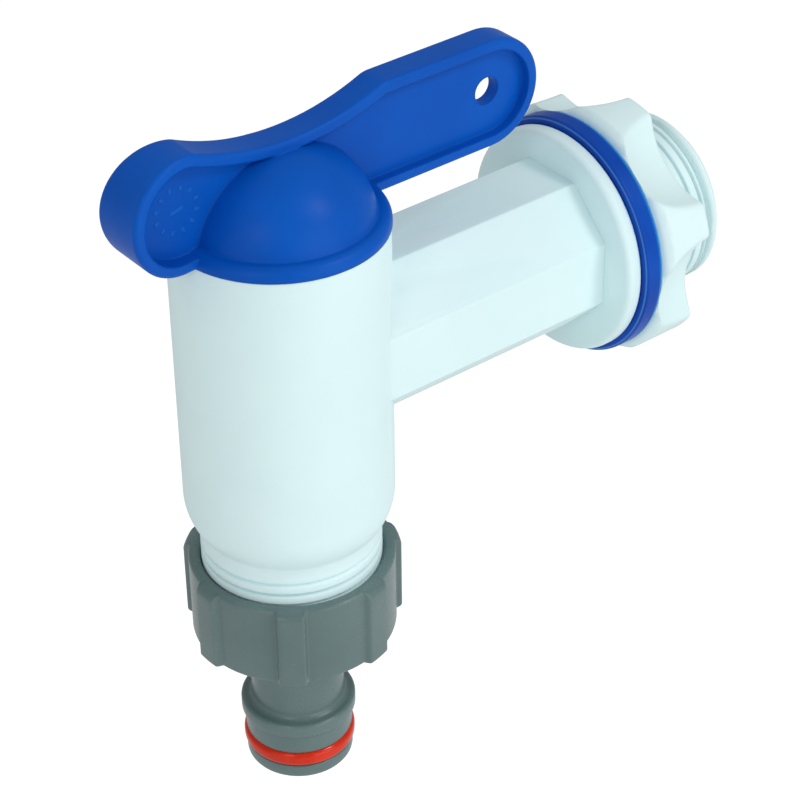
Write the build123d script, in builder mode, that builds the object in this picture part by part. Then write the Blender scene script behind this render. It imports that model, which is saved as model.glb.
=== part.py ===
from build123d import *
import math
import os

# Water butt tap: a quarter-turn lever tap with a threaded inlet tail and a threaded outlet.
# Frame: +X runs along the inlet axis into the butt, +Z is up. The origin lies on the inlet axis, in the
# plane of the flange's sealing face. All lengths are in millimetres and all angles in degrees.

# Standard sizes
thread_major_r = 13.22       # 3/4 inch parallel pipe thread, outside diameter 26.44
thread_root_r = 12.06
thread_play = 0.08           # gap round the thread inside the backnut and the connector
thread_lead = 0.8            # chamfer at the start of each outside thread
mouth_lead = 0.45            # chamfer at the mouth of each inside thread
edge_share = 0.9             # a rounded edge takes at most this share of its wall

# Overall layout
reach = 51.5                 # barrel axis to the flange's sealing face
barrel_rise = 21.55          # inlet axis up to the top of the barrel
barrel_h = 48.6              # barrel's own height
outlet_len = 14.7            # foot of the barrel to the end of the outlet
tail_len = 19.8              # sealing face to the end of the threaded tail
tail_ring_w = 1.9            # plain ring at the tail's end
tail_groove_w = 0.9          # groove behind it, where the thread ends

# Tap body
barrel_r = 15.2
barrel_foot_curve_r = 9.0    # the side curves in to the outlet by this radius
plug_bore_r = 12.2           # bore that the plug turns in
outlet_bore_r = 10.0
shoulder_h = 5.3             # floor under the plug, above the foot of the barrel
tube_sides = 8
tube_flats = 24.0            # inlet tube, across its flats
tube_edge_round = 0.4
inlet_bore_r = 9.0
port_r = 7.0                 # round port from the inlet bore into the plug bore
port_land = 1.8              # wall of the port beyond the barrel's outside
flange_r = 17.4
flange_t = 2.6
flange_front_round = 1.0
flange_back_round = 0.7
stop_floor_play = 0.2        # gap under the stop lug

# Plug
plug_play = 0.08             # radial running gap between the plug and its bore
seat_gap = 0.1               # gap between the cover flange and the top of the barrel
plug_foot_gap = 0.5          # gap between the plug and the shoulder
plug_hollow_r = 9.0
seal_wire_r = 0.88           # round section of the plug's two O-rings
seal_bore_play = 0.05        # gap between a plug seal and the bore
seal_groove_play = 0.02      # gap between a seal and the floor of its groove
seal_groove_side = 0.25      # gap at each side of an O-ring in its groove
upper_seal_drop = 6.0        # top of the barrel down to the upper O-ring
lower_seal_rise = 6.7        # floor under the plug up to the lower O-ring
port_seal_in_r = 7.6         # saddle ring, measured about the port's axis
port_seal_w = 1.6
port_seal_depth = 1.55
bead_rise = 2.2              # floor under the plug up to the middle of the snap bead
bead_h = 1.2
bead_proud = 0.25            # snap bead stands out from the plug bore by this much
bead_side_gap = 0.15
bead_radial_gap = 0.3
lug_span = 30.0              # stop lug, in degrees about the barrel's axis
lug_h = 2.4
lug_proud = 1.1              # lug stands out from the plug bore by this much
lug_radial_gap = 0.15
turn_range = 90.0            # the lever's quarter turn
stop_gap_deg = 1.5           # free angle past each end of the quarter turn

# Cover flange and dome
cover_r = 15.35
cover_t = 2.0
cover_round = 1.45
dome_r = 13.6                # the dome is an ellipse: half its width
dome_h = 12.0                # its height above the cover's underside
dome_wall = 2.3              # at the top of the dome
hollow_top_r = 12.5          # round ceiling of the hollow under the dome
dome_foot_round = 0.35

# Lever fin
fin_half_w = 2.45            # half width of the rim along the handle
fin_end_half_w = 4.45        # half width at the thumb end
fin_mid_half_w = 3.05        # half width half way along the flare
flare_from = 6.3             # the flare starts this far behind the barrel's axis
web_half_t = 1.0
rim_w = 1.65
thumb_r = 8.5                # round thumb end, towards the front
thumb_back = 16.4            # its centre, behind the barrel's axis
tip_r = 8.2                  # round tip of the handle
tip_ahead = 35.5             # its centre, ahead of the barrel's axis
dip_low = 13.35              # lowest point of the hollow above the dome, over the fin's lower edge
dip_ahead = 1.45             # that point, ahead of the barrel's axis
shoulder_round = 4.0         # where the hollow meets the handle's straight top
neck_angle = 30.5            # where the hollow meets the round thumb end, from the end's top
neck_round = 3.0             # rounding there
rim_edge_round = 0.6
tether_hole_r = 2.05

# Flange washer and backnut
washer_t = 3.0
washer_r = 18.45
washer_bore_play = 0.4       # gap between the rubber washer and the tail
washer_edge_round = 0.5
nut_len = 8.6
nut_r = 19.7                 # crests of the lobes
nut_lobes = 6
nut_first_lobe = 40.0        # angle of one lobe, from +Y towards +Z
scallop_r = 11.0
# Share of the nut's length from the washer, a scallop's depth there as a share of the nut's wall, and the
# rounding of its two corners
scallop_steps = ((0, 0.22, 1.3), (0.25, 0.42, 1.3), (0.55, 0.58, 1.3), (1, 0.69, 1.3))
nut_foot_drop = 1.3          # the crests are lower by this much at the washer
nut_foot_len = 1.1           # length over which they rise
nut_edge = 0.35

# Hose connector
cup_grip = 8.7               # length of the outlet inside the cup
cup_h = 13.2
cup_r = 15.15
rib_r = 16.1
rib_w = 4.2
rib_count = 7
rib_first = -127.5           # angle of one rib, from +X towards +Y
rib_top_slope = 0.75         # the ribs' tops fall by this much towards their outer faces
rib_edge_round = 0.4
rib_foot_round = 0.45
connector_washer_t = 2.0
connector_washer_side = 0.3  # gap round the flat washer
connector_washer_bore_r = 7.5
spigot_bore_r = 4.8
neck_r = 7.0
neck_len = 14.35             # underside of the cup down to the collar
neck_top_round = 1.5
neck_foot_round = 0.8
collar_r = 8.67              # collar that the push-fit socket's claws lock behind
collar_h = 2.3
collar_edge = 0.3
spigot_r = 8.1
spigot_len = 8.65            # collar down to the end of the spigot
spigot_end_round = 0.8
o_ring_half_w = 1.3          # half width of the O-ring, as it lies squeezed in its groove
o_ring_half_depth = 1.15
o_ring_corner = 0.95         # rounding of its section
o_ring_out_r = 8.46
o_ring_from_end = 3.8        # spigot's end up to the middle of the O-ring
o_ring_side = 0.06
o_ring_floor_play = 0.02

# Heights and places worked out from the sizes above
barrel_top = barrel_rise
barrel_foot = barrel_top - barrel_h
outlet_end = barrel_foot - outlet_len
shoulder_z = barrel_foot + shoulder_h
plug_r = plug_bore_r - plug_play
plug_foot = shoulder_z + plug_foot_gap
lever_z = barrel_top + seat_gap
cover_top = lever_z + cover_t
seal_out_r = plug_bore_r - seal_bore_play
bead_z = shoulder_z + bead_rise
upper_seal_z = barrel_top - upper_seal_drop
lower_seal_z = shoulder_z + lower_seal_rise
lug_r = plug_bore_r + lug_proud
cup_top = outlet_end + cup_grip
cup_foot = cup_top - cup_h
cup_floor = outlet_end - connector_washer_t
collar_top = cup_foot - neck_len
collar_foot = collar_top - collar_h
spigot_end = collar_foot - spigot_len
inside_thread_r = thread_major_r + thread_play

# A round piece of the barrel is drawn as half of its section: x is the radius and y the height.
section = Plane(origin=(-reach, 0, 0), x_dir=(1, 0, 0), z_dir=(0, -1, 0))
barrel_axis = Axis((-reach, 0, 0), (0, 0, 1))
fin_plane = Plane(origin=(-reach, 0, lever_z), x_dir=(1, 0, 0), z_dir=(0, -1, 0))


def barrel_level(z):
    """Level plane with its origin on the barrel's axis."""
    return Plane(origin=(-reach, 0, z))


def axis_distance(vertex):
    """Distance of a vertex from the middle of its sketch."""
    return math.hypot(vertex.X, vertex.Y)


def ring_sector(inner, outer, start, end):
    """Piece of a flat ring between two angles."""
    points = [
        (radius * math.cos(math.radians(angle)), radius * math.sin(math.radians(angle)))
        for radius, angle in ((inner, start), (outer, start), (outer, end), (inner, end))
    ]
    with BuildSketch() as sector:
        with BuildLine():
            Line(points[0], points[1])
            CenterArc((0, 0), outer, start, end - start)
            Line(points[2], points[3])
            CenterArc((0, 0), inner, start, end - start)
        make_face()
    return sector.sketch


def saddle_ring(inner, outer, low_r, high_r):
    """Ring about the port's level that follows the plug's round side, on the blank side of the plug."""
    with BuildPart() as ring:
        with BuildSketch(barrel_level(-outer)):
            Circle(high_r)
            Circle(low_r, mode=Mode.SUBTRACT)
        extrude(amount=2 * outer)
        with BuildSketch(section):
            Circle(outer)
            Circle(inner, mode=Mode.SUBTRACT)
        extrude(amount=-2 * high_r, mode=Mode.INTERSECT)
    return ring.part


def lobed_outline(depth, corner_round):
    """Round outline with one scallop between each pair of lobes, drawn in the sketch that is open."""
    Circle(nut_r)
    half_pitch = 180 / nut_lobes
    with PolarLocations(nut_r - depth + scallop_r, nut_lobes, start_angle=nut_first_lobe + half_pitch):
        Circle(scallop_r, mode=Mode.SUBTRACT)
    fillet(vertices(), corner_round)


# Tap body: barrel, inlet tube, flange, threaded tail and threaded outlet in one moulding
foot_curve_in = barrel_foot_curve_r - (barrel_r - thread_major_r)
foot_curve_angle = math.degrees(math.acos(foot_curve_in / barrel_foot_curve_r))
foot_curve_z = barrel_foot + math.sqrt(barrel_foot_curve_r**2 - foot_curve_in**2)
stop_floor = barrel_top - lug_h - stop_floor_play
with BuildPart() as tap_body:
    with BuildSketch(section):
        with BuildLine():
            Polyline(
                (0, barrel_top),
                (barrel_r, barrel_top),
                (barrel_r, foot_curve_z),
            )
            CenterArc((barrel_r - barrel_foot_curve_r, foot_curve_z), barrel_foot_curve_r, 0, -foot_curve_angle)
            Polyline(
                (thread_major_r, barrel_foot),
                (thread_major_r, outlet_end),
                (0, outlet_end),
                (0, barrel_top),
            )
        make_face()
        outlet_edge = vertices().sort_by_distance((thread_major_r, outlet_end))[0]
        chamfer(outlet_edge, thread_lead)
    revolve(axis=barrel_axis)
    with BuildSketch(Plane.YZ.offset(-reach)):
        RegularPolygon(tube_flats / 2, tube_sides, major_radius=False, rotation=180 / tube_sides)
        fillet(vertices(), tube_edge_round)
    extrude(amount=reach - flange_t)
    with BuildSketch(Plane.YZ.offset(-flange_t)):
        Circle(flange_r)
    extrude(amount=flange_t)
    for place, edge_round in ((-flange_t, flange_front_round), (0, flange_back_round)):
        fillet(edges().filter_by(GeomType.CIRCLE).sort_by_distance((place, flange_r, 0))[0], edge_round)
    with BuildSketch(Plane.YZ):
        Circle(thread_major_r)
    extrude(amount=tail_len)
    chamfer(faces().sort_by(Axis.X)[-1].edges(), thread_lead)
    with BuildSketch(Plane.YZ.offset(tail_len - tail_ring_w)):
        Circle(flange_r)
        Circle(thread_root_r, mode=Mode.SUBTRACT)
    extrude(amount=-tail_groove_w, mode=Mode.SUBTRACT)

    # Plug bore, the groove for the snap bead, the recess for the stop lug and the outlet bore
    with BuildSketch(barrel_level(barrel_top)):
        Circle(plug_bore_r)
    extrude(amount=shoulder_z - barrel_top, mode=Mode.SUBTRACT)
    with BuildSketch(barrel_level(bead_z)):
        Circle(plug_bore_r + bead_proud + bead_radial_gap)
    extrude(amount=bead_h / 2 + bead_side_gap, both=True, mode=Mode.SUBTRACT)
    with BuildSketch(barrel_level(barrel_top)):
        add(
            ring_sector(
                plug_bore_r / 2,
                lug_r + lug_radial_gap,
                180 - lug_span / 2 - turn_range - stop_gap_deg,
                180 + lug_span / 2 + stop_gap_deg,
            )
        )
    extrude(amount=stop_floor - barrel_top, mode=Mode.SUBTRACT)
    with BuildSketch(barrel_level(shoulder_z)):
        Circle(outlet_bore_r)
    extrude(amount=outlet_end - shoulder_z, mode=Mode.SUBTRACT)

    # Inlet bore from the end of the tail, and the narrower port through the barrel's wall
    with BuildSketch(Plane.YZ.offset(tail_len)):
        Circle(inlet_bore_r)
    extrude(amount=-(tail_len + reach - barrel_r - port_land), mode=Mode.SUBTRACT)
    with BuildSketch(Plane.YZ.offset(-reach)):
        Circle(port_r)
    extrude(amount=barrel_r + port_land, mode=Mode.SUBTRACT)

# Saddle ring, and the tool for the groove that it lies in
port_seal_out_r = port_seal_in_r + port_seal_w
port_seal_low_r = seal_out_r - port_seal_depth
saddle = saddle_ring(port_seal_in_r, port_seal_out_r, port_seal_low_r, seal_out_r)
saddle_groove = saddle_ring(
    port_seal_in_r - seal_groove_play,
    port_seal_out_r + seal_groove_play,
    port_seal_low_r - seal_groove_play,
    plug_bore_r + bead_proud,
)

# The hollow in the fin's top edge runs from its lowest point up to the round thumb end
thumb_centre = Vector(-thumb_back, thumb_r)
neck_point = thumb_centre + Vector(0, thumb_r).rotate(Axis.Z, -neck_angle)
dip_rise = neck_point.Y - dip_low
dip_r = ((dip_ahead - neck_point.X) ** 2 + dip_rise**2) / (2 * dip_rise)
dip_centre = Vector(dip_ahead, dip_low + dip_r)
thumb_to_dip = dip_centre - thumb_centre
overlap_at = (1 + (thumb_r**2 - dip_r**2) / thumb_to_dip.length**2) / 2
overlap_point = thumb_centre + thumb_to_dip * overlap_at

# Lever and plug: the fin, the dome, the cover flange and the hollow plug in one moulding
seal_centre_r = seal_out_r - seal_wire_r
seal_floor_r = seal_centre_r - seal_wire_r - seal_groove_play
dome_foot_r = dome_r * math.sqrt(1 - (cover_t / dome_h) ** 2)
with BuildPart() as lever_plug:
    # The fin is its side outline, narrowed to its outline from above
    with BuildSketch(fin_plane) as fin_outline:
        handle_top = 2 * tip_r
        with BuildLine():
            Polyline(
                (-thumb_back, 0),
                (tip_ahead, 0),
                (tip_ahead, handle_top),
                (dip_ahead, handle_top),
                overlap_point,
                (-thumb_back, overlap_point.Y),
                close=True,
            )
        make_face()
        with Locations(thumb_centre):
            Circle(thumb_r)
        with Locations((tip_ahead, tip_r)):
            Circle(tip_r)
        with Locations(dip_centre):
            Circle(dip_r, mode=Mode.SUBTRACT)
        shoulder_point = (dip_ahead + math.sqrt(dip_r**2 - (dip_centre.Y - handle_top) ** 2), handle_top)
        fillet(vertices().sort_by_distance(shoulder_point)[0], shoulder_round)
        fillet(vertices().sort_by_distance(neck_point)[0], neck_round)
    extrude(amount=fin_end_half_w, both=True)
    with BuildSketch(barrel_level(lever_z)):
        with BuildLine():
            far = tip_ahead + tip_r
            end = thumb_back + thumb_r
            Line((-flare_from, fin_half_w), (far, fin_half_w))
            Line((far, fin_half_w), (far, 0))
            Line((far, 0), (-end, 0))
            Line((-end, 0), (-end, fin_end_half_w))
            ThreePointArc(
                (-end, fin_end_half_w),
                (-(end + flare_from) / 2, fin_mid_half_w),
                (-flare_from, fin_half_w),
            )
        make_face()
        mirror(about=Plane.XZ)
    extrude(amount=2 * max(thumb_r, tip_r), mode=Mode.INTERSECT)
    fillet(edges().filter_by(lambda e: abs(e.center().Y) > fin_half_w / 2), rim_edge_round)
    for side in (1, -1):
        with BuildSketch(fin_plane.offset(side * web_half_t)):
            add(fin_outline.sketch_local)
            offset(amount=-rim_w)
        extrude(amount=side * fin_end_half_w, mode=Mode.SUBTRACT)

    # Dome, cover flange and plug are turned about the barrel's axis
    with BuildSketch(section):
        with Locations((0, lever_z)):
            Ellipse(dome_r, dome_h)
            Rectangle(dome_r, dome_h, align=(Align.MIN, Align.MIN), mode=Mode.INTERSECT)
            Rectangle(cover_r, cover_t, align=(Align.MIN, Align.MIN))
            Rectangle(plug_r, lever_z - plug_foot, align=(Align.MIN, Align.MAX))
        cover_room = min(cover_t, cover_r - dome_foot_r - dome_foot_round)
        fillet(vertices().sort_by_distance((cover_r, cover_top))[0], min(cover_round, edge_share * cover_room))
        fillet(vertices().sort_by_distance((dome_foot_r, cover_top))[0], dome_foot_round)
    revolve(axis=barrel_axis)

    # Snap bead and stop lug
    with BuildSketch(section):
        with BuildLine():
            Polyline(
                (plug_hollow_r, bead_z - bead_h / 2),
                (plug_bore_r, bead_z - bead_h / 2),
                (plug_bore_r + bead_proud, bead_z),
                (plug_bore_r + bead_proud, bead_z + bead_h / 2),
                (plug_hollow_r, bead_z + bead_h / 2),
                close=True,
            )
        make_face()
    revolve(axis=barrel_axis)
    with BuildSketch(barrel_level(lever_z)):
        add(ring_sector((plug_hollow_r + plug_r) / 2, lug_r, 180 - lug_span / 2, 180 + lug_span / 2))
    extrude(amount=-(lug_h + seat_gap), mode=Mode.ADD)

    # Hollow that the water runs through, closed by the dome and open below
    with BuildSketch(section):
        hollow_h = lever_z + dome_h - dome_wall - plug_foot
        with Locations((0, plug_foot)):
            Rectangle(plug_hollow_r, hollow_h - hollow_top_r, align=(Align.MIN, Align.MIN))
        with Locations((0, plug_foot + hollow_h - hollow_top_r)):
            Circle(hollow_top_r)
        with Locations((0, plug_foot)):
            Rectangle(plug_hollow_r, hollow_h, align=(Align.MIN, Align.MIN), mode=Mode.INTERSECT)
    revolve(axis=barrel_axis, mode=Mode.SUBTRACT)

    # Port, the grooves for the two O-rings and the groove for the saddle ring
    with BuildSketch(Plane.YZ.offset(-reach)):
        Circle(port_r)
    extrude(amount=plug_bore_r + bead_proud, mode=Mode.SUBTRACT)
    for height in (upper_seal_z, lower_seal_z):
        with BuildSketch(section):
            groove_w = 2 * (seal_wire_r + seal_groove_side)
            with Locations(((seal_floor_r + plug_bore_r) / 2, height)):
                Rectangle(plug_bore_r - seal_floor_r, groove_w)
        revolve(axis=barrel_axis, mode=Mode.SUBTRACT)
    add(saddle_groove, mode=Mode.SUBTRACT)

    # Tether hole through the web near the tip
    with BuildSketch(fin_plane):
        with Locations((tip_ahead, tip_r)):
            Circle(tether_hole_r)
    extrude(amount=2 * web_half_t, both=True, mode=Mode.SUBTRACT)


def plug_seal(height):
    """O-ring round the plug at this height."""
    with BuildPart() as ring:
        with BuildSketch(section):
            with Locations((seal_centre_r, height)):
                Circle(seal_wire_r)
        revolve(axis=barrel_axis)
    return ring


upper_plug_seal = plug_seal(upper_seal_z)
lower_plug_seal = plug_seal(lower_seal_z)

with BuildPart() as port_seal:
    add(saddle)

# Rubber washer between the flange and the wall of the butt
with BuildPart() as flange_washer:
    with BuildSketch(Plane.YZ):
        Circle(washer_r)
        Circle(thread_major_r + washer_bore_play, mode=Mode.SUBTRACT)
    extrude(amount=washer_t)
    for place in (0, washer_t):
        rim = edges().filter_by(GeomType.CIRCLE).sort_by_distance((place, washer_r, 0))[0]
        fillet(rim, min(washer_edge_round, edge_share * washer_t / 2))

# Backnut: the scallops are deepest at its free face, and a cone brings the lobes down to the washer
with BuildPart() as backnut:
    for share, depth_share, corner_round in scallop_steps:
        with BuildSketch(Plane.YZ.offset(washer_t + share * nut_len)):
            lobed_outline(depth_share * (nut_r - inside_thread_r), corner_round)
    loft()
    chamfer(faces().sort_by(Axis.X)[-1].edges(), nut_edge)
    with BuildSketch(Plane.XY):
        with BuildLine():
            Polyline(
                (washer_t, nut_r - nut_foot_drop),
                (washer_t + nut_foot_len, nut_r),
                (washer_t + nut_foot_len, nut_r + nut_foot_drop),
                (washer_t, nut_r + nut_foot_drop),
                close=True,
            )
        make_face()
    revolve(axis=Axis.X, mode=Mode.SUBTRACT)
    with BuildSketch(Plane.YZ.offset(washer_t)):
        Circle(inside_thread_r)
    extrude(amount=nut_len, mode=Mode.SUBTRACT)
    for place in (washer_t, washer_t + nut_len):
        mouth = edges().filter_by(GeomType.CIRCLE).sort_by_distance((place, inside_thread_r, 0))[0]
        chamfer(mouth, mouth_lead)

# Hose connector: ribbed cup with the inside thread, neck, collar and push-fit spigot
o_ring_z = spigot_end + o_ring_from_end
o_ring_centre_r = o_ring_out_r - o_ring_half_depth
o_ring_floor_r = o_ring_centre_r - o_ring_half_depth - o_ring_floor_play
o_ring_groove_w = 2 * (o_ring_half_w + o_ring_side)
with BuildPart() as hose_connector:
    with BuildSketch(barrel_level(cup_foot)):
        with PolarLocations(rib_r / 2, rib_count, start_angle=rib_first):
            Rectangle(rib_r + rib_w, rib_w)
        Circle(rib_r, mode=Mode.INTERSECT)
        Circle(cup_r)
        fillet(vertices().sort_by(axis_distance)[-2 * rib_count :], rib_edge_round)
        fillet(vertices().sort_by(axis_distance)[: 2 * rib_count], rib_foot_round)
    extrude(amount=cup_h)
    with BuildSketch(section):
        with BuildLine():
            Polyline(
                (cup_r, cup_top),
                (rib_r + rib_w, cup_top - rib_top_slope * (rib_r + rib_w - cup_r) / (rib_r - cup_r)),
                (rib_r + rib_w, cup_top + rib_w),
                (cup_r, cup_top + rib_w),
                close=True,
            )
        make_face()
    revolve(axis=barrel_axis, mode=Mode.SUBTRACT)
    with BuildSketch(section):
        with BuildLine():
            Polyline(
                (0, cup_foot),
                (neck_r, cup_foot),
                (neck_r, collar_top),
                (collar_r, collar_top),
                (collar_r, collar_foot),
                (spigot_r, collar_foot),
                (spigot_r, spigot_end),
                (0, spigot_end),
                close=True,
            )
        make_face()
        fillet(vertices().sort_by_distance((neck_r, collar_top))[0], neck_foot_round)
        for height in (collar_top, collar_foot):
            fillet(vertices().sort_by_distance((collar_r, height))[0], collar_edge)
        fillet(vertices().sort_by_distance((spigot_r, spigot_end))[0], spigot_end_round)
    revolve(axis=barrel_axis)
    under_cup = edges().filter_by(GeomType.CIRCLE).sort_by_distance((-reach, neck_r, cup_foot))[0]
    fillet(under_cup, neck_top_round)
    with BuildSketch(barrel_level(cup_floor)):
        Circle(inside_thread_r)
    extrude(amount=cup_top - cup_floor, mode=Mode.SUBTRACT)
    mouth = edges().filter_by(GeomType.CIRCLE).sort_by_distance((-reach, inside_thread_r, cup_top))[0]
    chamfer(mouth, mouth_lead)
    with BuildSketch(barrel_level(cup_floor)):
        Circle(spigot_bore_r)
    extrude(amount=spigot_end - cup_floor, mode=Mode.SUBTRACT)
    with BuildSketch(section):
        with Locations(((o_ring_floor_r + collar_r) / 2, o_ring_z)):
            Rectangle(collar_r - o_ring_floor_r, o_ring_groove_w)
    revolve(axis=barrel_axis, mode=Mode.SUBTRACT)

with BuildPart() as connector_washer:
    with BuildSketch(barrel_level(cup_floor)):
        Circle(inside_thread_r - connector_washer_side)
        Circle(connector_washer_bore_r, mode=Mode.SUBTRACT)
    extrude(amount=connector_washer_t)

with BuildPart() as connector_o_ring:
    with BuildSketch(section):
        with Locations((o_ring_centre_r, o_ring_z)):
            RectangleRounded(2 * o_ring_half_depth, 2 * o_ring_half_w, o_ring_corner)
    revolve(axis=barrel_axis)

os.makedirs("parts", exist_ok=True)
pieces = {
    "tap_body": tap_body,
    "lever_plug": lever_plug,
    "upper_plug_seal": upper_plug_seal,
    "lower_plug_seal": lower_plug_seal,
    "port_seal": port_seal,
    "flange_washer": flange_washer,
    "backnut": backnut,
    "hose_connector": hose_connector,
    "connector_washer": connector_washer,
    "connector_o_ring": connector_o_ring,
}
for name, piece in pieces.items():
    piece.part.label = name
    export_step(piece.part, f"parts/{name}.step")
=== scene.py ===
import math

import bmesh
import bpy
from mathutils import Matrix, Vector


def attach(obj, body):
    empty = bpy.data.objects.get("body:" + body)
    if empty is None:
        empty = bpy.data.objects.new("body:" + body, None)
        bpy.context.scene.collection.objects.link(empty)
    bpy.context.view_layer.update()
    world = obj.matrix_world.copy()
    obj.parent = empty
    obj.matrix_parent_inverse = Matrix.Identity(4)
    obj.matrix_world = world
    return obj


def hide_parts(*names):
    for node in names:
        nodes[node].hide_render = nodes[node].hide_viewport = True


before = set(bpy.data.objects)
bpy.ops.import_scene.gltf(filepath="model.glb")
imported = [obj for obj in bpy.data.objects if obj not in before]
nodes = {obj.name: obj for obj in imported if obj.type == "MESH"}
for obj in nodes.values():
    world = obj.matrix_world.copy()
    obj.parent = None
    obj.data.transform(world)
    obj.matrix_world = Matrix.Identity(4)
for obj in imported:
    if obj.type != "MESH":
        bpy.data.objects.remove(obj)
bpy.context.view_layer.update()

MM = 0.001
MERGE = 1e-6                 # vertices closer than this are one, in metres
SLEEVE_GAP = 0.05 * MM       # a threaded sleeve ends this far short of the wall that it is joined to

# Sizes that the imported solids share, in millimetres; angles are in degrees
BARREL_X = -51.5
CREST_R = 13.22
ROOT_R = 12.06
THREAD_ZONE = (11.6, 13.6)   # every threaded wall lies between these radii
PITCH = 1.814
BARREL_FOOT = -27.05
INSIDE_R = 13.3
RIDGE_R = 12.36
# Each thread's start and end along its own axis, and the share of a pitch by which its turns are shifted
OUTLET_THREAD = (1.6, 13.4)
OUTLET_PHASE = 0.58
TAIL_THREAD = (1.2, 17.05)
TAIL_PHASE = 0.2
NUT_THREAD = (3.6, 11.0)
CUP_THREAD = (6.95, 12.6)
CUP_TOP = -33.05
CUP_FLOOR = -43.75
CUP_FOOT = -46.25
CUP_R = 15.15
RIB_COUNT = 7
RIB_R = 16.1
RIB_ANGLE = -127.5           # one rib's angle from +X towards +Y
RIB_FLAT = 1.75              # half width of a rib's front
RIB_FLANK = 0.75             # width of the slope at each side of it
RIB_TOP_DROP = 0.75          # the ribs' tops fall by this much towards their outer faces
RIB_TOP_ZONE = 3.0           # the drop dies away within this height below the cup's mouth
RIB_FULL_DROP = 1.8
MOUTH_LEAD = 0.45
RIM_ROUND = 0.5
RIM_STAYS_R = 14.1
NECK_R = 7.0
COLLAR_TOP = -60.6
COLLAR_FOOT = -62.9
COLLAR_R = 8.67
SPIGOT_R = 8.1
SPIGOT_END = -71.55
SPIGOT_BORE_R = 4.8
GROOVE_FLOOR_R = 6.14
GROOVE_LOW = -69.11
GROOVE_HIGH = -66.39
THUMB_AT = (-67.9, 30.15)
WEB_HALF_T = 1.0


OUTLET_ORIGIN = Vector((BARREL_X * MM, 0, BARREL_FOOT * MM))
TAIL_ORIGIN = Vector((0, 0, 0))
DOWN = Vector((0, 0, -1))
INWARD = Vector((1, 0, 0))


# ---- Finishes ----

class Wire:
    """A socket in a finish. Arithmetic on it adds Math nodes."""

    def __init__(self, finish, socket):
        self.finish = finish
        self.socket = socket

    def __add__(self, other):
        return self.finish.sum("ADD", self, other)

    def __radd__(self, other):
        return self.finish.sum("ADD", other, self)

    def __sub__(self, other):
        return self.finish.sum("SUBTRACT", self, other)

    def __rsub__(self, other):
        return self.finish.sum("SUBTRACT", other, self)

    def __mul__(self, other):
        return self.finish.sum("MULTIPLY", self, other)


class Finish:
    """The nodes of one material, or of the world."""

    def __init__(self, owner):
        self.owner = owner
        owner.use_nodes = True
        self.tree = owner.node_tree
        self.tree.nodes.clear()

    def node(self, kind, settings=(), sockets=(), out=0):
        """Adds a node: first its settings, then the values or links of its sockets. Returns one output."""
        made = self.tree.nodes.new("ShaderNode" + kind)
        for key, value in dict(settings).items():
            setattr(made, key, value)
        for key, value in dict(sockets).items():
            if isinstance(value, Wire):
                self.tree.links.new(value.socket, made.inputs[key])
            else:
                made.inputs[key].default_value = value
        return Wire(self, made.outputs[out]) if len(made.outputs) else None

    def sum(self, operation, first, second):
        return self.node("Math", {"operation": operation}, {0: first, 1: second})

    def shade(self, amount, first, second):
        """Mixes two colours by an amount from 0 to 1."""
        return self.node("Mix", {"data_type": "RGBA"}, {0: amount, 6: first, 7: second}, out=2)

    def ramp(self, value, low, high):
        """0 below low and 1 above high, with a soft step between."""
        settings = {"interpolation_type": "SMOOTHSTEP"}
        return self.node("MapRange", settings, {0: value, 1: low, 2: high, 3: 0.0, 4: 1.0})

    def grain(self, scale, detail=2.0, roughness=0.5):
        """Noise over the piece, with scale in waves per metre."""
        where = self.node("TexCoord", out=3)
        return self.node("TexNoise", (), {"Vector": where, "Scale": scale, "Detail": detail,
                                          "Roughness": roughness})

    def along(self, axis):
        """The piece's own place along an axis, in millimetres."""
        where = self.node("TexCoord", out=3)
        split = self.node("SeparateXYZ", (), {0: where}, out="XYZ".index(axis))
        return split * 1000.0

    def surface(self, **sockets):
        """The plastic or rubber itself."""
        named = {key.replace("_", " "): value for key, value in sockets.items()}
        shader = self.node("BsdfPrincipled", (), named)
        self.node("OutputMaterial", (), {"Surface": shader})
        return self.owner


def tint(red, green, blue):
    """A colour from screen values of 0 to 255."""
    def linear(v):
        v /= 255
        return v / 12.92 if v <= 0.04045 else ((v + 0.055) / 1.055) ** 2.4
    return (linear(red), linear(green), linear(blue), 1.0)


def moulded(name, light, dark, gloss, grain_height, reflection, edge_round):
    """Injection-moulded plastic: faint flow clouds in its shade, a fine skin grain and soft edges."""
    finish = Finish(bpy.data.materials.new(name))
    clouds = finish.grain(55.0, 3.0)
    fine = finish.grain(900.0, 2.0)
    colour = finish.shade(finish.ramp(clouds, 0.35, 0.68), dark, light)
    skin = finish.grain(4200.0, 3.0, 0.6)
    height = skin * 0.6 + fine * 0.4
    soft_edges = finish.node("Bevel", {"samples": 6}, {"Radius": edge_round * MM})
    bump = finish.node("Bump", (), {"Strength": 0.35, "Distance": grain_height, "Height": height,
                                    "Normal": soft_edges})
    roughness = gloss + (clouds - 0.5) * 0.10 + (fine - 0.5) * 0.08
    return finish.surface(Base_Color=colour, Roughness=roughness, Normal=bump, Specular_IOR_Level=reflection)


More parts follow.
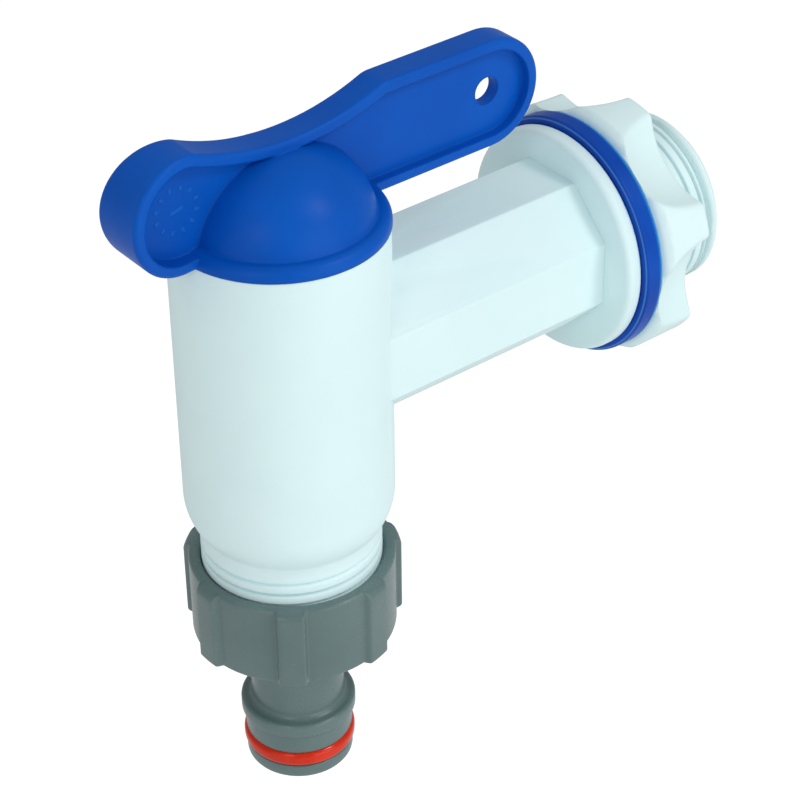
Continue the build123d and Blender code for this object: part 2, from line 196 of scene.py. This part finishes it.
def flange_rubber():
    """Blue rubber with painted light: a paler cyan edge beside the backnut stands for light coming through
    it, and a pale ring near the flange is a painted highlight.
    """
    finish = Finish(bpy.data.materials.new("flange washer rubber"))
    clouds = finish.grain(90.0, 3.0)
    body = finish.shade(finish.ramp(clouds, 0.3, 0.7), tint(4, 66, 166), tint(8, 78, 182))
    place = finish.along("X")
    # Painted glow: the rubber turns cyan towards the backnut side, standing in for light that comes through
    # it
    glow = finish.ramp(place, 2.25, 2.85)
    side = finish.along("Y")
    height = finish.along("Z")
    out = finish.sum("POWER", side * side + height * height, 0.5)
    # Painted highlight: a thin pale ring just outside the flange's edge
    painted_highlight_ring = finish.ramp(out, 17.95, 18.05) * (1 - finish.ramp(out, 18.15, 18.3))
    lit = finish.shade(glow, body, tint(28, 150, 222))
    colour = finish.shade(painted_highlight_ring * 0.4, lit, tint(110, 165, 225))
    fine = finish.grain(1500.0, 3.0)
    bump = finish.node("Bump", (), {"Strength": 0.3, "Distance": 0.00005, "Height": fine})
    return finish.surface(Base_Color=colour, Roughness=0.34 + (fine - 0.5) * 0.12, Normal=bump,
                          Specular_IOR_Level=0.12)


def plain_rubber(name, shade, gloss, grain_height):
    """Moulded rubber of one colour with a faint dusty variation."""
    finish = Finish(bpy.data.materials.new(name))
    clouds = finish.grain(260.0, 3.0)
    fine = finish.grain(2600.0, 2.0)
    pale = tuple(min(1.0, c * 1.18 + 0.004) for c in shade[:3]) + (1.0,)
    colour = finish.shade(finish.ramp(clouds, 0.35, 0.75), shade, pale)
    bump = finish.node("Bump", (), {"Strength": 0.25, "Distance": grain_height, "Height": fine})
    return finish.surface(Base_Color=colour, Roughness=gloss + (fine - 0.5) * 0.1, Normal=bump,
                          Specular_IOR_Level=0.3)


WHITE = moulded("white body plastic", tint(224, 248, 250), tint(220, 245, 247), 0.42, 0.00006, 0.3, 0.25)
BLUE = moulded("blue lever plastic", tint(4, 88, 190), tint(2, 82, 182), 0.36, 0.00006, 0.1, 0.5)
GREY = moulded("grey connector plastic", tint(98, 121, 121), tint(90, 112, 112), 0.26, 0.00001, 0.5, 0.45)
WASHER = flange_rubber()
ORANGE = plain_rubber("orange O-ring rubber", tint(206, 40, 2), 0.15, 0.000006)
# The dial's plastic is painted a little paler than the lever's blue, as painted sheen on the raised marks
DIAL_WITH_PAINTED_SHEEN = moulded("blue dial plastic", tint(17, 101, 199), tint(13, 95, 193), 0.36, 0.00004, 0.1, 0.3)
BLACK = plain_rubber("black seal rubber", tint(26, 26, 27), 0.45, 0.00003)

for name, material in (
    ("lever_plug", BLUE), ("backnut", WHITE), ("flange_washer", WASHER), ("hose_connector", GREY),
    ("connector_o_ring", ORANGE), ("connector_washer", BLACK), ("upper_plug_seal", BLACK),
    ("lower_plug_seal", BLACK), ("port_seal", BLACK),
):
    nodes[name].data.materials.clear()
    nodes[name].data.materials.append(material)


# ---- New pieces ----

def finished_piece(name, bm, material, body, sharp=30):
    """Turns a bmesh into an object that rides on a body."""
    mesh = bpy.data.meshes.new(name)
    bm.to_mesh(mesh)
    bm.free()
    mesh.materials.append(material)
    mesh.shade_smooth()
    mesh.set_sharp_from_angle(angle=math.radians(sharp))
    piece = bpy.data.objects.new(name, mesh)
    bpy.context.scene.collection.objects.link(piece)
    flats = piece.modifiers.new("flat faces stay flat", "WEIGHTED_NORMAL")
    flats.keep_sharp = True
    flats.weight = 90
    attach(piece, body)
    return piece


def soft_step(value):
    value = max(0.0, min(1.0, value))
    return value * value * (3 - 2 * value)


def round_distance(point, origin, axis):
    """How far a point lies from an axis, and how far along it."""
    offset = Vector(point) - origin
    along = offset.dot(axis)
    return (offset - axis * along).length, along


# One pitch of the outside thread: place along the pitch and share of the full depth
OUTSIDE_FORM = ((0.00, 0.0), (0.20, 0.0), (0.33, 0.03), (0.37, 0.14), (0.42, 0.55), (0.46, 0.9), (0.50, 1.0),
               (0.54, 0.9), (0.58, 0.55), (0.63, 0.14), (0.67, 0.03), (0.80, 0.0), (1.00, 0.0))
# The inside thread's narrower ridge, which runs in that groove
INSIDE_FORM = ((0.00, 0.0), (0.20, 0.0), (0.40, 0.0), (0.44, 0.12), (0.47, 0.6), (0.50, 1.0), (0.53, 0.6),
               (0.56, 0.12), (0.60, 0.0), (0.80, 0.0), (1.00, 0.0))


def thread_sleeve(form, wall_r, depth_r, start, end, fade_in, fade_out, turned, steps=96):
    """Thread turns about Z from one height to the next, in metres, on a shell that is open at both ends."""
    bm = bmesh.new()
    pitch = PITCH * MM
    low = start - 1.05 * pitch + turned * pitch
    while low > start - 1.01 * pitch:
        low -= pitch
    turns = math.ceil((end - low) / pitch) + 1
    chain = [bm.verts.new((wall_r * MM - depth * (wall_r - depth_r) * MM, 0, low + share * pitch))
             for share, depth in form]
    for one, other in zip(chain, chain[1:]):
        bm.edges.new((one, other))
    bmesh.ops.spin(bm, geom=bm.verts[:] + bm.edges[:], cent=(0, 0, 0), axis=(0, 0, 1),
                   dvec=(0, 0, pitch / steps), angle=2 * math.pi * turns, steps=steps * turns)
    bmesh.ops.remove_doubles(bm, verts=bm.verts[:], dist=2e-6)
    for v in bm.verts:
        radius = math.hypot(v.co.x, v.co.y)
        keep = 1.0
        if fade_in:
            keep *= soft_step((v.co.z - start) / fade_in)
        if fade_out:
            keep *= soft_step((end - v.co.z) / fade_out)
        new = wall_r * MM - (wall_r * MM - radius) * keep
        v.co.x *= new / radius
        v.co.y *= new / radius
    for height, side in ((start, -1), (end, 1)):
        bmesh.ops.bisect_plane(bm, geom=bm.verts[:] + bm.edges[:] + bm.faces[:], dist=1e-8,
                               plane_co=(0, 0, height), plane_no=(0, 0, side), clear_outer=True)
    return bm


def open_loops(bm, origin, axis, at, r_low, r_high):
    """Boundary edges that lie near a ring about an axis."""
    found = []
    for e in bm.edges:
        if not e.is_boundary:
            continue
        r, along = round_distance((e.verts[0].co + e.verts[1].co) / 2, origin, axis)
        if abs(along - at) < 0.02 * MM and r_low < r < r_high:
            found.append(e)
    return found


def cut_thread(bm, origin, axis, form, radii, span, fades, turned):
    """Takes a band of plain wall off a body and puts a threaded sleeve in its place."""
    start, end = (place * MM for place in span)
    fade_in, fade_out = (share * PITCH * MM for share in fades)
    wall_r, depth_r = radii
    sleeve = thread_sleeve(form, wall_r, depth_r, start + SLEEVE_GAP, end - SLEEVE_GAP, fade_in, fade_out,
                           turned)
    r_low, r_high = (r * MM for r in THREAD_ZONE)
    for at in (start, end):
        bmesh.ops.bisect_plane(bm, geom=bm.verts[:] + bm.edges[:] + bm.faces[:], dist=1e-7,
                               plane_co=origin + axis * at, plane_no=axis)
    band = []
    for f in bm.faces:
        r, along = round_distance(f.calc_center_median(), origin, axis)
        if start < along < end and r_low < r < r_high:
            band.append(f)
    bmesh.ops.delete(bm, geom=band, context="FACES")
    turn = Vector((0, 0, 1)).rotation_difference(axis).to_matrix().to_4x4()
    bmesh.ops.transform(sleeve, matrix=Matrix.Translation(origin) @ turn, verts=sleeve.verts[:])
    holder = bpy.data.meshes.new("sleeve")
    sleeve.to_mesh(holder)
    sleeve.free()
    bm.from_mesh(holder)
    bpy.data.meshes.remove(holder)
    for wall_at, sleeve_at in ((start, start + SLEEVE_GAP), (end, end - SLEEVE_GAP)):
        rings = open_loops(bm, origin, axis, wall_at, r_low, r_high)
        rings += open_loops(bm, origin, axis, sleeve_at, r_low, r_high)
        bmesh.ops.bridge_loops(bm, edges=rings)


def welded_copy(node_name):
    """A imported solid's mesh, to work on."""
    bm = bmesh.new()
    bm.from_mesh(nodes[node_name].data)
    bmesh.ops.remove_doubles(bm, verts=bm.verts[:], dist=MERGE)
    return bm


def threaded_body():
    """The white moulding with its two outside threads."""
    bm = welded_copy("tap_body")
    radii = (CREST_R, ROOT_R)
    cut_thread(bm, OUTLET_ORIGIN, DOWN, OUTSIDE_FORM, radii, OUTLET_THREAD, (1.3, 0.5), OUTLET_PHASE)
    cut_thread(bm, TAIL_ORIGIN, INWARD, OUTSIDE_FORM, radii, TAIL_THREAD, (1.0, 0), TAIL_PHASE)
    bmesh.ops.recalc_face_normals(bm, faces=bm.faces[:])
    piece = finished_piece("tap_body_threaded", bm, WHITE, "body", 28)
    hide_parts("tap_body")


threaded_body()


def threaded_nut():
    """The backnut with its inside thread, which meets the tail's thread."""
    bm = welded_copy("backnut")
    # The tail's turns are counted from its own start, so the nut's are brought to the same turns
    turned = TAIL_PHASE + (TAIL_THREAD[0] - NUT_THREAD[0]) / PITCH
    cut_thread(bm, TAIL_ORIGIN, INWARD, INSIDE_FORM, (INSIDE_R, RIDGE_R), NUT_THREAD, (0.35, 0.35), turned)
    bmesh.ops.recalc_face_normals(bm, faces=bm.faces[:])
    piece = finished_piece("backnut_threaded", bm, WHITE, "nut", 32)
    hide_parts("backnut")


threaded_nut()


def spun(profile, steps):
    """Closed ring profile turned once about Z, in millimetres."""
    bm = bmesh.new()
    chain = [bm.verts.new((r * MM, 0, z * MM)) for r, z in profile]
    for one, other in zip(chain, chain[1:] + chain[:1]):
        bm.edges.new((one, other))
    bmesh.ops.spin(bm, geom=bm.verts[:] + bm.edges[:], cent=(0, 0, 0), axis=(0, 0, 1), angle=2 * math.pi,
                   steps=steps, use_merge=True)
    bmesh.ops.recalc_face_normals(bm, faces=bm.faces[:])
    return bm


def round_ring(bm, radius, height, offset, segments=4):
    """Rounds one ring of edges of a spun shape."""
    ring = [e for e in bm.edges
            if all(abs(math.hypot(v.co.x, v.co.y) - radius * MM) < 0.01 * MM
                   and abs(v.co.z - height * MM) < 0.01 * MM for v in e.verts)]
    bmesh.ops.bevel(bm, geom=ring, affect="EDGES", offset=offset * MM, segments=segments, profile=0.5,
                    material=-1)


def ribbed_connector():
    """Hose connector: a cup with ribs that grow out of its wall and a thread inside, neck, collar, spigot."""
    bm = spun((
        (SPIGOT_BORE_R, CUP_FLOOR), (INSIDE_R, CUP_FLOOR), (INSIDE_R, CUP_TOP - MOUTH_LEAD),
        (INSIDE_R + MOUTH_LEAD, CUP_TOP), (RIM_STAYS_R, CUP_TOP), (CUP_R, CUP_TOP), (CUP_R, CUP_TOP - 1.2),
        (CUP_R, CUP_TOP - RIB_TOP_ZONE), (CUP_R, CUP_FOOT), (NECK_R, CUP_FOOT), (NECK_R, COLLAR_TOP),
        (COLLAR_R, COLLAR_TOP), (COLLAR_R, COLLAR_FOOT), (SPIGOT_R, COLLAR_FOOT), (SPIGOT_R, GROOVE_HIGH),
        (GROOVE_FLOOR_R, GROOVE_HIGH), (GROOVE_FLOOR_R, GROOVE_LOW), (SPIGOT_R, GROOVE_LOW),
        (SPIGOT_R, SPIGOT_END), (SPIGOT_BORE_R, SPIGOT_END),
    ), RIB_COUNT * 90)
    for radius, height, offset in (
        (CUP_R, CUP_TOP, RIM_ROUND), (CUP_R, CUP_FOOT, RIM_ROUND), (NECK_R, CUP_FOOT, 1.5),
        (NECK_R, COLLAR_TOP, 0.9), (COLLAR_R, COLLAR_TOP, 0.55), (COLLAR_R, COLLAR_FOOT, 0.3),
        (SPIGOT_R, GROOVE_HIGH, 0.12), (SPIGOT_R, GROOVE_LOW, 0.12), (SPIGOT_R, SPIGOT_END, 0.8),
        (SPIGOT_BORE_R, SPIGOT_END, 0.3),
    ):
        round_ring(bm, radius, height, offset)
    # Each point of the cup's outside moves out by its share of a rib's height
    rib_height = RIB_R - CUP_R
    between_ribs = 2 * math.pi / RIB_COUNT
    for v in bm.verts:
        radius = math.hypot(v.co.x, v.co.y) / MM
        height = v.co.z / MM
        if radius < RIM_STAYS_R or height < CUP_FOOT - 0.01:
            continue
        angle = math.atan2(v.co.y, v.co.x) - math.radians(RIB_ANGLE)
        angle -= between_ribs * round(angle / between_ribs)
        rib = 1 - soft_step((abs(angle) * RIB_R - RIB_FLAT) / RIB_FLANK)
        rib *= min(1, (radius - RIM_STAYS_R) / (CUP_R - RIM_ROUND - RIM_STAYS_R))
        wide = radius + rib_height * rib
        drop = RIB_TOP_DROP * rib * max(0, (wide - CUP_R) / rib_height)
        drop *= max(0, min(1, (height - CUP_TOP + RIB_TOP_ZONE) / RIB_FULL_DROP))
        v.co = Vector((v.co.x * wide / radius, v.co.y * wide / radius, (height - drop) * MM))
    bmesh.ops.translate(bm, verts=bm.verts[:], vec=(BARREL_X * MM, 0, 0))
    # The outlet's turns are counted from its own start, so the cup's are brought to the same turns
    turned = OUTLET_PHASE + (OUTLET_THREAD[0] - CUP_THREAD[0]) / PITCH
    cut_thread(bm, OUTLET_ORIGIN, DOWN, INSIDE_FORM, (INSIDE_R, RIDGE_R), CUP_THREAD, (0.35, 0.5), turned)
    bmesh.ops.recalc_face_normals(bm, faces=bm.faces[:])
    piece = finished_piece("hose_connector_ribbed", bm, GREY, "connector", 50)
    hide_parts("hose_connector")


ribbed_connector()


def mould_dial():
    """Faint raised dial on the thumb end's web: a bar inside a ring of twelve short ticks."""
    bm = bmesh.new()
    proud, sunk = 0.05, 0.15
    dial_r = 3.2
    # Each bar's middle, length, width and slant in degrees
    bars = [(0.0, 0.0, 2.2, 0.65, 14.0)]
    for tick in range(12):
        slant = 30 * tick + 15
        angle = math.radians(slant)
        bars.append((dial_r * math.cos(angle), dial_r * math.sin(angle), 0.85, 0.6, slant))
    for x, z, length, width, slant in bars:
        block = bmesh.ops.create_cube(bm, size=1.0)["verts"]
        turn = Matrix.Rotation(-math.radians(slant), 4, "Y")
        shape = turn @ Matrix.Diagonal((length, proud + sunk, width, 1))
        move = Matrix.Translation((THUMB_AT[0] + x, -WEB_HALF_T - (proud - sunk) / 2, THUMB_AT[1] + z))
        bmesh.ops.transform(bm, matrix=Matrix.Scale(MM, 4) @ move @ shape, verts=block)
    outer = [e for e in bm.edges if all(v.co.y < -WEB_HALF_T * MM for v in e.verts)]
    bmesh.ops.bevel(bm, geom=outer, affect="EDGES", offset=0.045 * MM, segments=3, profile=0.5, material=-1)
    finished_piece("mould_dial", bm, DIAL_WITH_PAINTED_SHEEN, "lever")


mould_dial()


# ---- Floor, light and camera ----

def stage_surface(name):
    """Plain white ground that still takes a shadow: the camera sees it a little brighter than it lights."""
    finish = Finish(bpy.data.materials.new(name))
    seen = finish.node("LightPath", out="Is Camera Ray")
    glow = finish.node("Emission", (), {"Color": (1, 1, 1, 1), "Strength": seen * 0.45})
    matt = finish.node("BsdfDiffuse", (), {"Color": (0.9, 0.9, 0.9, 1)})
    both = finish.node("AddShader", (), {0: matt, 1: glow})
    finish.node("OutputMaterial", (), {"Surface": both})
    return finish.owner


# In metres
FLOOR_R = 6.0
FLOOR_Z = -0.165
TAP_MIDDLE = Vector((-0.03, 0, -0.016))

bm = bmesh.new()
bmesh.ops.create_circle(bm, cap_ends=True, segments=96, radius=FLOOR_R)
bmesh.ops.translate(bm, verts=bm.verts[:], vec=(0, 0, FLOOR_Z))
floor_mesh = bpy.data.meshes.new("floor")
bm.to_mesh(floor_mesh)
bm.free()
floor_mesh.materials.append(stage_surface("pale floor"))
floor = bpy.data.objects.new("floor", floor_mesh)
bpy.context.scene.collection.objects.link(floor)

world = bpy.data.worlds.new("studio")
bpy.context.scene.world = world
sky = Finish(world)
camera_ray = sky.node("LightPath", out="Is Camera Ray")
glossy_ray = sky.node("LightPath", out="Is Glossy Ray")
level = camera_ray * 0.45 + 0.56 - glossy_ray * 0.22
lit = sky.node("Background", (), {"Color": (1, 1, 1, 1), "Strength": level})
sky.node("OutputWorld", (), {"Surface": lit})


def softbox(name, direction, distance, size, power):
    """Square lamp that faces the middle of the tap."""
    lamp = bpy.data.lights.new(name, "AREA")
    lamp.size = size
    lamp.energy = power
    holder = bpy.data.objects.new(name, lamp)
    bpy.context.scene.collection.objects.link(holder)
    away = Vector(direction).normalized()
    holder.location = TAP_MIDDLE + away * distance
    holder.rotation_mode = "QUATERNION"
    holder.rotation_quaternion = away.to_track_quat("Z", "Y")


softbox("front light", (0.15, -1.0, 0.15), 0.6, 0.45, 0.87)
softbox("top light", (0.4, -0.7, 0.85), 0.7, 0.16, 0.95)
softbox("left lamp", (-0.85, -0.5, 0.6), 0.7, 0.16, 0.35)
softbox("left fill", (-1.0, -0.35, 0.15), 0.7, 0.5, 0.35)

# The camera that was fitted to the photo's outlines, in metres and degrees
AZIMUTH, ELEVATION, ROLL = (math.radians(a) for a in (38.296, 34.902, -0.683))
LOOK_AT = Vector((-0.031108, 0, -0.016126))
AWAY = 0.363807

back = Vector((-math.sin(AZIMUTH) * math.cos(ELEVATION), -math.cos(AZIMUTH) * math.cos(ELEVATION),
               math.sin(ELEVATION)))
level_right = (-back).cross(Vector((0, 0, 1))).normalized()
level_up = level_right.cross(-back)
right = level_right * math.cos(ROLL) + level_up * math.sin(ROLL)
up = level_up * math.cos(ROLL) - level_right * math.sin(ROLL)
place = LOOK_AT + back * AWAY
camera_data = bpy.data.cameras.new("camera")
camera_data.lens = 112.08
camera_data.sensor_width = 36.0
camera_data.clip_start = 0.01
camera_data.clip_end = 50.0
camera = bpy.data.objects.new("camera", camera_data)
bpy.context.scene.collection.objects.link(camera)
camera.matrix_world = Matrix((
    (right.x, up.x, back.x, place.x),
    (right.y, up.y, back.y, place.y),
    (right.z, up.z, back.z, place.z),
    (0, 0, 0, 1),
))
bpy.context.scene.camera = camera
bpy.context.scene.view_settings.view_transform = "Standard"
